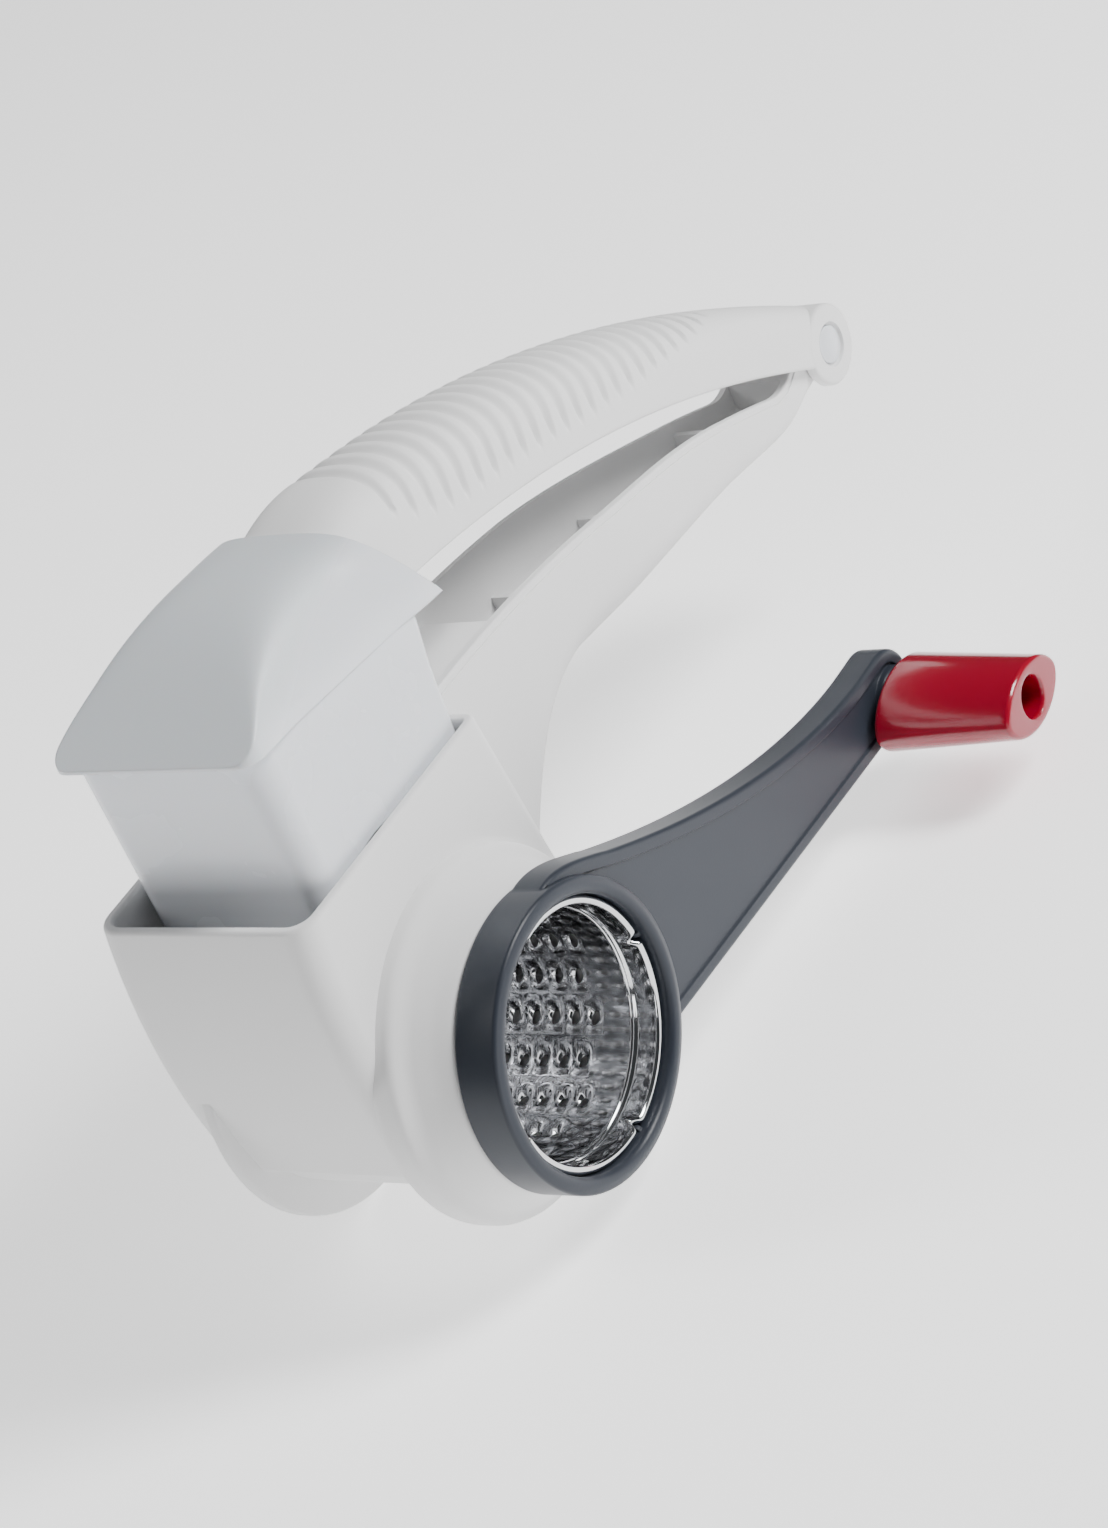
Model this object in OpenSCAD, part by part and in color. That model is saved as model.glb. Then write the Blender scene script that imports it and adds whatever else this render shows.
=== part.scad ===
// Hand-held rotary drum grater: a hopper over a perforated drum, a press lever with a pusher,
// and a side crank that turns the drum.
// Frame: origin on the drum axis at the hopper's flat side face, +X along the drum axis towards
// the crank, +Y towards the handles, +Z up out of the hopper. The lever is drawn shut and then
// opened to its rest angle.

/* [Hopper] */
// Outer width of the hopper along the drum axis
hopper_w = 44.6; // [40:0.2:52]
// Height of the hopper rim above the drum axis
rim_z = 43.8; // [38:0.2:56]
// Rim to drum axis, towards the front
rim_front = 27.6; // [25.5:0.1:34]
// Rim to drum axis, towards the handle
rim_back = 29.6; // [28.5:0.1:33]
// Lower end of the front wall to drum axis
lip_front = 26.7; // [25:0.1:32]
// How far the front wall bulges between its ends
front_bulge = 3.3; // [0:0.1:5]
// Wall thickness of the mouldings
wall = 1.9; // [1.4:0.1:2.4]
// Rounding of the hopper's two front corners
front_corner_r = 5; // [3:0.2:7]
// Rounding of the hopper's two back corners
back_corner_r = 2.6; // [2.2:0.1:4]
// Radius of the round side lobes below the hopper
lobe_r = 31.5; // [29:0.1:36]
// How far the crank-side lobe stands out from the hopper wall
lobe_proud = 3.2; // [2:0.2:6]
// How far the other lobe is set back from the flat side face
lobe_inset = 6.1; // [5:0.1:8]

/* [Drum] */
// Outer radius of the perforated drum
drum_r = 21.3; // [17.5:0.1:21.5]
// Thickness of the drum's sheet
sheet = 0.6; // [0.4:0.1:1]
// Length of the perforated drum
drum_len = 48.4; // [40:0.2:60]
// Gap between the drum and the trough around it
drum_gap = 2.1; // [1.2:0.1:3]
// Radius of the grating holes
hole_r = 1.25; // [0.6:0.05:1.5]
// Spacing of the grating holes along the drum
hole_pitch = 4.15; // [3.6:0.05:5]
// Number of hole rows around the drum
hole_rows = 18; // [12:2:22]
// Number of holes in a row
holes_per_row = 9; // [4:1:9]
// Depth of the rim's four drive notches
notch_depth = 2.4; // [1.5:0.1:3]
// Radius of the drum's stub axle
stub_r = 3; // [2.4:0.1:4]

/* [Crank] */
// Outer diameter of the crank ring
ring_od = 52; // [50:0.2:60]
// Depth of the crank ring along its axis
ring_depth = 8.5; // [7.5:0.1:12]
// Width of the cone between the lobe and the crank ring
cone_w = 8.1; // [5:0.1:12]
// Thickness of the crank arm
arm_t = 6.6; // [4:0.2:8]
// Knob axis beyond the drum axis
arm_y = 111.3; // [90:0.5:130]
// Knob axis below the drum axis
arm_drop = 16; // [10:0.2:20]
// Width of the arm at the knob
arm_end_w = 15; // [13:0.2:20]

/* [Knob] */
// Length of the knob
knob_len = 27; // [22:0.5:36]
// Half of the knob's long width at the arm
knob_a = 12.3; // [10:0.1:15]
// Half of the knob's short width at the arm
knob_b = 7.2; // [6.2:0.1:9]
// Size of the outer end as a share of the inner end
knob_taper = 0.84; // [0.75:0.01:1]
// Radius of the knob's open bore
knob_bore_r = 3.8; // [3.2:0.1:4.4]
// Radius of the knob screw's shoulder
shoulder_r = 2.4; // [1.8:0.1:2.8]

/* [Handles] */
// Pivot beyond the drum axis
pivot_y = 175.7; // [150:0.5:200]
// Pivot above the drum axis
pivot_z = 22.1; // [20:0.5:30]
// Angle that the lever stands open at rest
rest_open = 6.6; // [4:0.2:20]
// Half width of the lever over the grip
lever_hw = 11.8; // [10.5:0.1:15]
// Half width of the lever at the pivot
lever_end_hw = 10.2; // [9.6:0.1:12]
// Half width of the lower handle over the grip
handle_hw = 12; // [9:0.1:14]
// Radius of the pivot pin
pin_r = 3.6; // [2.5:0.1:4.2]
// Radius of the lever's rounded end
lever_end_r = 7.9; // [7.4:0.1:10]
// Height of the lever's crown over its front end
crown_z = 67.2; // [62:0.2:72]
// Height of the lower handle's top edge at the hopper
grip_z = 45.3; // [45:0.1:50]
// Gap between the shut lever and the lower handle
grip_gap = 2.4; // [1:0.1:5]

/* [Press] */
// Half width of the hood
hood_hw = 21.1; // [20.6:0.1:26]
// Rise of the hood's crest over its lower edge
hood_rise = 17.4; // [14:0.2:19]
// Gap between the pusher and the hopper at the sides
pusher_gap = 0.9; // [0.4:0.1:1.2]
// Gap left between the shut pusher and the drum
press_gap = 1.3; // [0.8:0.1:3]

/* [Hidden] */
$fn = 96;
eps = 0.01;

// Clearances
run_gap = 0.05;            // radial gap of a running fit
side_gap = 0.3;            // axial gap between parts that turn past each other
hinge_side_gap = 0.35;     // gap beside the lower handle inside the lever
hinge_open = 2.5;          // the lever's end wall stops this far below the pin's axis

// Plastic colours
white = [0.93, 0.94, 0.96];
pearl = [0.86, 0.88, 0.89];
slate = [0.25, 0.27, 0.30];
red = [0.62, 0.07, 0.15];
steel = [0.75, 0.76, 0.78];

// Hopper
mid_x = hopper_w / 2;
inner_hw = mid_x - wall;
back_foot = lobe_r + 2;                // back wall near the drum axis' height
back_foot_z = 4;
lip_z = -8.4;                          // lower end of the front wall
trough_r = drum_r + drum_gap;          // inside of the trough below the drum
inner_back = rim_back - wall;
boss_out_r = drum_r + 0.7;             // round boss between the flat side and the drum
lobe_t = 2.2;
lobe_in = lobe_inset + lobe_t;         // inner face at the drum's closed end

// Stations along the drum axis
lobe_x = hopper_w + lobe_proud;
ring_x0 = lobe_x + cone_w + 0.2;
ring_x1 = ring_x0 + ring_depth;
ring_r = ring_od / 2;
bead_r = 0.9;                          // roundness of the drum's rolled rim
bead_x = ring_x1 - 2.7;                // the rim lies inside the ring's mouth
bead_ring_r = drum_r + 0.6;            // radius of the rolled rim's centre line
seat_r = bead_ring_r + bead_r + 0.1;   // mouth of the ring around the rolled rim
lug_turn = 6.5;                        // angle of the drive lugs
step_x = bead_x - 4.2;                 // end of the perforated sleeve
shell_x0 = step_x - drum_len;

// Collar of the housing that carries the crank ring
collar_bore = seat_r + 0.3;
collar_wall = 1.3;
collar_r = collar_bore + collar_wall;
collar_x1 = bead_x - bead_r - 0.9;
snap_h = 0.45;                         // bead that holds the ring on the collar
snap_w = 1.4;
snap_x = collar_x1 - 1.5;

// Bearing at the drum's closed end
bush_r = stub_r + 1.5;
bush_x0 = 2.6;
bush_x1 = lobe_in + 0.4;
disc_t = 1.6;
disc_x = shell_x0 + 0.8;

// Crank arm
arm_x0 = ring_x0 + 0.1;
arm_x1 = arm_x0 + arm_t;
arm_z = -arm_drop;
arm_top_z = arm_z + arm_end_w * 0.68;
arm_rise = 22.6;
arm_curve_y = arm_y - 6;
arm_curve_len = 77;

// Lever and lower handle
handle_end_hw = lever_end_hw - wall - hinge_side_gap;
handle_end_r = lever_end_r - wall - side_gap;
crown_y = 30;                          // where the crown starts to fall
crown_drop = crown_z - pivot_z - lever_end_r - 0.9;
grip_y = 38;                           // where the meeting line starts to fall
grip_end = pivot_y - 6.7;
grip_drop = grip_z - pivot_z + 4.3;
under_y = 75;                          // where the handle's underside turns down to the housing
under_z = 22.9;
under_fall = 0.106;
under_low = 3;
flare = 0.018;

// Press
pusher_hw = inner_hw - pusher_gap;
hood_front = rim_front - 2.7;
hood_edge_z = grip_z + grip_gap - 0.2;
hood_back = rim_back + 2.4;
hood_back_top = 20;                    // the hood's back edge leans forward up to here
hood_lip = 0.6;                        // upright edge below the dome
hood_arch = hood_rise * 1.16;          // height that the arch across would reach without the crest
hood_nose = 47.7;                      // length over which the crest rises
pusher_top_z = hood_edge_z + 3.5;
hood_wall = 1.7;
press_r = drum_r + press_gap;
pusher_front = rim_front - 5.5;
pusher_lean = 5;                       // how far the pusher's front leans back at its lower end
pusher_back = inner_back - 1.9;
pusher_corner_r = 2.4;
pusher_low_z = 8;

// --- shared geometry ---------------------------------------------------------------------

// Turns geometry drawn for the shut lever to the angle at which it stands at rest.
module at_rest() {
    translate([0, pivot_y, pivot_z])
        rotate([-rest_open, 0, 0])
            translate([0, -pivot_y, -pivot_z]) children();
}

// Extrudes a side outline, given as [y, z], from x0 to x1.
module side_plate(x0, x1) {
    translate([x0, 0, 0])
        rotate([90, 0, 90])
            linear_extrude(x1 - x0) children();
}

// A cylinder along the drum axis from x0 to x1.
module disc_x(x0, x1, r) {
    translate([x0, 0, 0]) rotate([0, 90, 0]) cylinder(h = x1 - x0, r = r);
}

// Revolves an outline, given as [x, radius], about the drum axis.
module turned() {
    rotate([90, 0, 90]) rotate([0, 0, 0])
        rotate_extrude() mirror([1, -1]) children();
}

// A plain polyhedron through rings of equally many points, with flat ends.
module loft(rings) {
    n = len(rings[0]);
    m = len(rings);
    sides = [for (i = [0:m - 2]) for (j = [0:n - 1])
        [i * n + j, i * n + (j + 1) % n, (i + 1) * n + (j + 1) % n, (i + 1) * n + j]];
    first = [for (j = [0:n - 1]) n - 1 - j];
    last = [for (j = [0:n - 1]) (m - 1) * n + j];
    polyhedron([for (ring = rings) each ring], concat([first], sides, [last]), convexity = 6);
}

// --- hopper and drum housing ------------------------------------------------------------

function front_y(z) =
    let (t = (z - lip_z) / (rim_z - lip_z))
    -(lip_front + (rim_front - lip_front) * t + front_bulge * (1 - pow(2 * t - 1, 2)));
function back_y(z) = z > back_foot_z
    ? rim_back + (back_foot - rim_back) * (rim_z - z) / (rim_z - back_foot_z)
    : back_foot - 0.25 * (back_foot_z - z);

// Rounded rectangle at height z: front corners rounded by rf, back corners by rb.
function upright_ring(z, x0, x1, y0, y1, rf, rb, steps = 6) =
    [for (c = [[x1 - rf, y0 + rf, rf, 0], [x0 + rf, y0 + rf, rf, -90],
               [x0 + rb, y1 - rb, rb, -180], [x1 - rb, y1 - rb, rb, -270]])
        for (i = [0:steps]) let (a = c[3] - 90 * i / steps)
            [c[0] + c[2] * cos(a), c[1] + c[2] * sin(a), z]];

// The hopper's block from its lip to its rim, shrunk by inset.
module hopper_block(inset, z0, z1) {
    levels = 14;
    loft([for (i = [0:levels])
        let (z = z0 + (z1 - z0) * i / levels)
        upright_ring(z, inset, hopper_w - inset, front_y(z) + inset, back_y(z) - inset,
            front_corner_r - inset, back_corner_r - inset)]);
}

// Outer shape of the housing, without its bores.
module housing_solid() {
    hopper_block(0, lip_z, rim_z);
    disc_x(lobe_inset, lobe_in, lobe_r);
    disc_x(lobe_inset + 1, hopper_w, trough_r + wall);
    disc_x(hopper_w - wall * 1.6, lobe_x - 1, lobe_r);
    turned() polygon([
        [hopper_w - 2, 0], [hopper_w - 2, lobe_r - 2], [lobe_x - 1, lobe_r], [lobe_x, lobe_r - 0.4],
        [lobe_x + 0.8, lobe_r - 1.3], [lobe_x + cone_w * 0.6, ring_r + 1],
        [lobe_x + cone_w, ring_r - 0.2], [lobe_x + cone_w, 0]
    ]);
}

module hopper_housing() {
    color(white) {
        difference() {
            housing_solid();
            difference() {
                hopper_block(wall, lip_z + wall, rim_z + 1);
                disc_x(-1, lobe_in, boss_out_r);
            }
            disc_x(lobe_in, hopper_w + 1, trough_r);
            disc_x(hopper_w, lobe_x + cone_w + 1, trough_r);
            disc_x(hopper_w, ring_x1 + 5, collar_bore);
            disc_x(bush_x0, bush_x1 + 1, bush_r);
        }
        // Collar for the crank ring with its snap bead
        turned() polygon([
            [lobe_x + cone_w - 1, collar_bore], [lobe_x + cone_w - 1, collar_r], [snap_x - snap_w / 2, collar_r],
            [snap_x - snap_w / 4, collar_r + snap_h], [snap_x + snap_w / 4, collar_r + snap_h],
            [snap_x + snap_w / 2, collar_r], [collar_x1, collar_r], [collar_x1, collar_bore]
        ]);
    }
}

module drum_bush() {
    color(slate)
        difference() {
            disc_x(bush_x0, bush_x1, bush_r);
            disc_x(bush_x0 - 1, bush_x1 + 1, stub_r + run_gap);
        }
}

// --- handles ----------------------------------------------------------------------------

function crown(y) = crown_z - (y > crown_y ? crown_drop * pow((y - crown_y) / (pivot_y - crown_y), 2) : 0);
function meet(y) = grip_z - (y > grip_y ? grip_drop * pow((y - grip_y) / (grip_end - grip_y), 2) : 0);
function under(y) = y > under_y
    ? mix(under_z - under_fall * (y - under_y), pivot_z - handle_end_r, ease((y - pivot_y + 26) / 24))
    : max(under_low, under_z - flare * pow(under_y - y, 2));
function mix(a, b, t) = a + (b - a) * max(0, min(1, t));
function ease(t) = let (s = max(0, min(1, t))) s * s * (3 - 2 * s);
function lever_half(y) = mix(lever_hw, lever_end_hw, ease((y - 60) / (pivot_y - 75)));
function handle_half(y) = mix(handle_hw, handle_end_hw, ease((y - 90) / (pivot_y - 128)));

// Arched section of the lever at y: upright sides below a rounded crown, carried on below by drop.
function arch_ring(y, hw, z0, z1, drop, steps = 14) =
    let (zs = z0 + (z1 - z0) * 0.4)
    concat(
        [[mid_x + hw, y, z0 - drop]],
        [for (i = [0:steps]) let (a = 180 * i / steps, c = cos(a), s = sin(a))
            [mid_x + hw * sign(c) * pow(abs(c), 0.8), y, zs + (z1 - zs) * pow(abs(s), 0.8)]],
        [[mid_x - hw, y, z0 - drop]]
    );

// Trough section of the lower handle at y: upright sides above a rounded belly.
function belly_ring(y, hw, z0, z1, r, steps = 6) =
    concat(
        [[mid_x + hw, y, z1], [mid_x - hw, y, z1]],
        [for (i = [0:steps]) let (a = 180 + 90 * i / steps) [mid_x - hw + r + r * cos(a), y, z0 + r + r * sin(a)]],
        [for (i = [0:steps]) let (a = 270 + 90 * i / steps) [mid_x + hw - r + r * cos(a), y, z0 + r + r * sin(a)]]
    );

lever_y0 = 6;
lever_y1 = pivot_y + 3.4;
room_len = 12;                         // of the room for the lower handle's end
function lever_floor(y) = max(meet(y) + grip_gap, pivot_z - lever_end_r * 0.8);
function lever_top(y) = min(crown(y), crown_z - (y < 34 ? 0.0135 * pow(34 - y, 2) : 0));

// Outer shape of the lever, drawn shut, shrunk by inset and carried on below by drop.
module lever_solid(y0, y1, inset, drop) {
    count = 26;
    loft([for (i = [0:count])
        let (y = y0 + (y1 - y0) * i / count)
        arch_ring(y, lever_half(y) - inset, lever_floor(y), lever_top(y) - inset, drop)]);
}

module lever() {
    hinge_hw = lever_end_hw - wall;
    color(white) at_rest() {
        difference() {
            union() {
                lever_solid(lever_y0, lever_y1, 0.1, 0);
                translate([mid_x - lever_end_hw, pivot_y, pivot_z])
                    rotate([0, 90, 0]) cylinder(h = 2 * lever_end_hw, r = lever_end_r);
            }
            lever_solid(lever_y0 + wall, pivot_y - room_len + 1, wall, 9);
            // Room for the lower handle's end, open below
            side_plate(mid_x - hinge_hw, mid_x + hinge_hw) {
                translate([pivot_y, pivot_z]) circle(lever_end_r - wall);
                polygon([
                    [pivot_y - room_len, pivot_z - 20], [pivot_y - room_len, pivot_z + lever_end_r - wall],
                    [pivot_y, pivot_z + lever_end_r - wall], [pivot_y, pivot_z - hinge_open],
                    [pivot_y + 2 * lever_end_r, pivot_z - hinge_open], [pivot_y + 2 * lever_end_r, pivot_z - 20]
                ]);
            }
            // Pin bore, countersunk outside
            translate([mid_x - lever_end_hw - 1, pivot_y, pivot_z])
                rotate([0, 90, 0]) cylinder(h = 2 * lever_end_hw + 2, r = pin_r + run_gap);
            for (s = [0, 1])
                translate([mid_x, pivot_y, pivot_z]) mirror([s, 0, 0])
                    translate([lever_end_hw - 0.6, 0, 0]) rotate([0, 90, 0])
                        cylinder(h = 0.6 + eps, r1 = pin_r + run_gap, r2 = pin_r + 0.75);
        }
    }
}

handle_y0 = rim_back - 0.5;
handle_stations = [for (i = [0:26]) handle_y0 + (pivot_y - 4 - handle_y0) * i / 26];
function handle_top(y) = mix(meet(y), pivot_z + handle_end_r * 0.7, ease((y - grip_end + 14) / 14));

module handle_solid(inset, lift) {
    loft([for (y = handle_stations)
        let (hw = handle_half(y) - inset, z0 = under(y) + inset, z1 = handle_top(y) + lift)
        belly_ring(y, hw, z0, z1, min(hw * 0.75, (z1 - z0) * 0.45))]);
}

rib_ys = [80, 108.5, 140.5];
rib_t = 1.5;
rib_h = 10;                            // top of the ribs above the handle's underside
shelf_y = 61.4;                        // end of the shelf beside the hopper
shelf_z = 38.2;

module lower_handle() {
    color(white)
        difference() {
            union() {
                difference() {
                    handle_solid(0, 0);
                    difference() {
                        handle_solid(wall, 6);
                        // Solid end round the pin
                        translate([mid_x - 20, pivot_y - 14, pivot_z - 20]) cube([40, 30, 60]);
                        // Cross ribs below the rim of the trough
                        for (y = rib_ys)
                            translate([mid_x - 20, y, under(y) - 5]) cube([40, rib_t, rib_h + 5]);
                        // Shelf beside the hopper, open at its end
                        translate([mid_x - 20, 0, shelf_z]) cube([40, shelf_y, wall]);
                    }
                }
                translate([mid_x - handle_end_hw, pivot_y, pivot_z])
                    rotate([0, 90, 0]) cylinder(h = 2 * handle_end_hw, r = handle_end_r);
            }
            housing_solid();
            translate([mid_x - 20, pivot_y, pivot_z])
                rotate([0, 90, 0]) cylinder(h = 40, r = pin_r);
        }
}

module pivot_pin() {
    color(white)
        translate([mid_x, pivot_y, pivot_z]) rotate([0, 90, 0]) {
            translate([0, 0, -lever_end_hw + 1.2]) cylinder(h = 2 * lever_end_hw - 1.6, r = pin_r);
            // Domed head in the countersink
            translate([0, 0, lever_end_hw - 0.4]) intersection() {
                cylinder(h = 1, r = pin_r);
                translate([0, 0, 0.8 - 2 * pin_r]) sphere(r = 2 * pin_r);
            }
            // Stud for the cap
            translate([0, 0, -lever_end_hw + 0.2]) cylinder(h = 1.1, r = pin_r * 0.45);
        }
}

module pin_cap() {
    color(white)
        translate([mid_x - lever_end_hw + 1.2, pivot_y, pivot_z]) rotate([0, -90, 0])
            difference() {
                union() {
                    cylinder(h = 1.0, r = pin_r);
                    translate([0, 0, 1.0]) cylinder(h = 0.8, r1 = pin_r, r2 = pin_r * 0.7);
                }
                translate([0, 0, -1]) cylinder(h = 2, r = pin_r * 0.45);
            }
}

// --- press: hood and pusher -------------------------------------------------------------

// Height of the hood over its edge at u across (-1..1) and s from its front edge: the smooth
// smaller of an arch across and a parabola that rises from the front.
function hood_height(u, s) =
    let (f = hood_arch * pow(1 - pow(abs(u), 2.8), 0.8) + 0.001,
         g = hood_rise * (1 - pow(1 - min(1, s / hood_nose), 2)) + 0.001)
    1 / pow(1 / pow(f, 6) + 1 / pow(g, 6), 1 / 6);

hood_cols = 16;
hood_rows = 18;

// Solid dome over the hood's plan, shrunk by inset; its back edge leans forward to the crown.
module hood_dome(inset, z_low) {
    hw = hood_hw - inset;
    y0 = -hood_front + inset;
    across = [for (i = [0:hood_cols]) -cos(180 * i / hood_cols)];
    loft([for (j = [0:hood_rows])
        let (t = j / hood_rows)
        concat(
            [for (u = across)
                let (h = hood_lip + hood_height(u, t * (hood_back + hood_front)) - inset,
                     back = mix(hood_back, hood_back_top, max(0, h) / hood_rise) + (inset > 0 ? 2 : 0))
                [mid_x - hw * u, y0 + (back - y0) * t, hood_edge_z + h]],
            [[mid_x - hw, y0 + (hood_back + (inset > 0 ? 2 : 0) - y0) * t, z_low],
             [mid_x + hw, y0 + (hood_back + (inset > 0 ? 2 : 0) - y0) * t, z_low]]
        )]);
}

module hood() {
    color(pearl) at_rest()
        difference() {
            hood_dome(0, hood_edge_z);
            hood_dome(hood_wall, hood_edge_z - 5);
            lever_solid(lever_y0, lever_y1, 0, 2);
            pusher_block(0, 0);
        }
}

// The pusher's outer block, drawn shut: its front leans back, its bottom fits round the drum.
module pusher_block(inset, open) {
    hw = pusher_hw - inset;
    z0 = pusher_low_z + inset;
    difference() {
        loft([for (z = [z0, pusher_top_z + open])
            upright_ring(z, mid_x - hw, mid_x + hw, pusher_lean * (rim_z - z) / rim_z - pusher_front + inset,
                pusher_back - inset, front_corner_r - inset, pusher_corner_r - inset)]);
        disc_x(-1, hopper_w + 1, press_r + inset);
    }
}

module pusher() {
    color(white) at_rest() {
        difference() {
            pusher_block(0, 0);
            difference() {
                pusher_block(wall, 5);
                // Webs that carry the lever
                for (s = [-1, 1])
                    translate([mid_x + s * (lever_hw - wall / 2) - wall / 2, -60, 0]) cube([wall, 120, 100]);
            }
            translate([mid_x - lever_hw - 0.5, -60, grip_z + grip_gap]) cube([2 * lever_hw + 1, 120, 60]);
        }
    }
}

// --- crank and knob ---------------------------------------------------------------------

function arm_top(y) = arm_top_z + (y < arm_curve_y ? arm_rise * pow((arm_curve_y - y) / arm_curve_len, 1.7) : 0);

module arm_outline() {
    y0 = 14;
    steps = 16;
    low_z = arm_z - arm_end_w * 0.32 + 0.6;
    union() {
        polygon(concat(
            [for (i = [0:steps]) let (y = y0 + (arm_y - y0) * i / steps) [y, arm_top(y)]],
            [[arm_y, low_z], [y0, low_z + 5.5]]
        ));
        translate([arm_y, (arm_top_z + low_z) / 2]) circle((arm_top_z - low_z) / 2);
    }
}

module crank() {
    color(slate)
        difference() {
            union() {
                // Ring with a rounded front edge
                turned() polygon([
                    [ring_x0, 0], [ring_x0, ring_r - 0.5], [ring_x0 + 0.5, ring_r], [ring_x1 - 1.4, ring_r],
                    [ring_x1 - 0.5, ring_r - 0.4], [ring_x1, ring_r - 1.3], [ring_x1, 0]
                ]);
                side_plate(arm_x0, arm_x1) arm_outline();
                // Pad under the knob
                translate([arm_x1 - eps, arm_y, arm_z]) rotate([0, 90, 0]) cylinder(h = 1, r = knob_b * 0.9);
            }
            // Mouth round the drum's rolled rim
            disc_x(bead_x - bead_r - 0.2, ring_x1 + 1, seat_r);
            // Throat that the drum passes through
            disc_x(ring_x0 - 1, ring_x1, bead_ring_r + bead_r * 0.4);
            // Skirt round the housing's collar, with the groove for its snap bead
            disc_x(ring_x0 - 1, collar_x1 + side_gap, collar_r + run_gap);
            turned() polygon([
                [snap_x - snap_w / 2 - 0.2, collar_r - 0.5], [snap_x - snap_w / 2 - 0.2, collar_r + run_gap],
                [snap_x - snap_w / 4 - 0.2, collar_r + snap_h + 0.15],
                [snap_x + snap_w / 4 + 0.2, collar_r + snap_h + 0.15],
                [snap_x + snap_w / 2 + 0.2, collar_r + run_gap], [snap_x + snap_w / 2 + 0.2, collar_r - 0.5]
            ]);
            // Hole for the knob's screw
            translate([arm_x0 - 1, arm_y, arm_z]) rotate([0, 90, 0]) cylinder(h = arm_t + 4, r = shoulder_r * 0.7);
        }
    // Four drive lugs for the notches in the drum's rim
    color(slate)
        for (a = [lug_turn:90:359])
            rotate([a, 0, 0])
                translate([bead_x - notch_depth + 1, -notch_depth / 2 + 0.3, bead_ring_r - 0.2])
                    cube([notch_depth + 0.6, notch_depth - 0.6, seat_r - bead_ring_r + 0.5]);
}

pad_x = arm_x1 + 1;
shoulder_len = 9;

module knob_screw() {
    color(steel)
        translate([arm_x0 + 1, arm_y, arm_z]) rotate([0, 90, 0]) {
            cylinder(h = pad_x - arm_x0 - 1, r = shoulder_r * 0.7);
            translate([0, 0, pad_x - arm_x0 - 1 - eps]) cylinder(h = shoulder_len + 0.6 + 2 * eps, r = shoulder_r);
            translate([0, 0, pad_x - arm_x0 + shoulder_len - 0.4]) difference() {
                cylinder(h = 2, r = knob_bore_r - 0.4);
                translate([0, 0, 1]) cylinder(h = 2, r = 1.3, $fn = 6);
            }
        }
}

module knob() {
    x0 = pad_x + 0.2;
    color(red)
        translate([x0, arm_y, arm_z]) rotate([90, 0, 90])
            difference() {
                hull() {
                    translate([0, 0, 0]) linear_extrude(0.01) scale([knob_a - 0.5, knob_b - 0.5]) circle(1, $fn = 48);
                    translate([0, 0, 0.6]) linear_extrude(0.01) scale([knob_a, knob_b]) circle(1, $fn = 48);
                    translate([0, 0, knob_len - 0.8]) linear_extrude(0.01)
                        scale([knob_a * knob_taper, knob_b * knob_taper]) circle(1, $fn = 48);
                    translate([0, 0, knob_len - 0.01]) linear_extrude(0.01)
                        scale([knob_a * knob_taper - 0.6, knob_b * knob_taper - 0.6]) circle(1, $fn = 48);
                }
                translate([0, 0, -1]) cylinder(h = knob_len + 2, r = shoulder_r + run_gap);
                translate([0, 0, shoulder_len - 0.1]) cylinder(h = knob_len, r = knob_bore_r);
            }
}

// --- drum -------------------------------------------------------------------------------

hole_x0 = step_x - 7.9 - (holes_per_row - 0.5) * hole_pitch;
first_row = 6.3;                       // angle of the first row of holes

module drum_shell() {
    color(steel)
        difference() {
            disc_x(shell_x0, step_x, drum_r);
            disc_x(shell_x0 - 1, step_x + 1, drum_r - sheet);
            for (i = [0:hole_rows - 1])
                rotate([first_row - 90 + i * 360 / hole_rows, 0, 0])
                    for (j = [0:holes_per_row - 1])
                        translate([hole_x0 + (j + ((i + 1) % 2) / 2) * hole_pitch, 0, drum_r - 2])
                            cylinder(h = 4, r = hole_r, $fn = 24);
        }
}

module drum_rim() {
    flare_r = bead_ring_r - bead_r;
    color(steel)
        difference() {
            union() {
                turned() polygon([
                    [step_x - 2.5, drum_r], [step_x, drum_r], [bead_x, flare_r + 0.4],
                    [bead_x, flare_r + 0.4 + sheet], [step_x + 0.4, drum_r + sheet * 0.8], [step_x - 2.5, drum_r + sheet * 0.8]
                ]);
                turned() translate([bead_x, bead_ring_r]) circle(bead_r, $fn = 48);
            }
            for (a = [lug_turn:90:359])
                rotate([a, 0, 0])
                    translate([bead_x - notch_depth + 0.7, -notch_depth / 2, bead_ring_r - 0.5])
                        cube([notch_depth + 2, notch_depth, 4]);
        }
}

module drum_end_disc() {
    color(steel)
        difference() {
            union() {
                disc_x(disc_x, disc_x + disc_t, drum_r - sheet);
                disc_x(disc_x - 0.8, disc_x + disc_t + 2, stub_r + 2.5);
            }
            disc_x(disc_x - 2, disc_x + 10, stub_r);
        }
}

module drum_stub() {
    color(steel) disc_x(bush_x0 + side_gap, disc_x + disc_t + 2, stub_r);
}

hopper_housing();
lower_handle();
drum_bush();
pivot_pin();
pin_cap();
lever();
hood();
pusher();
crank();
knob_screw();
knob();
drum_shell();
drum_rim();
drum_end_disc();
drum_stub();
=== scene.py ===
import math

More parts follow.
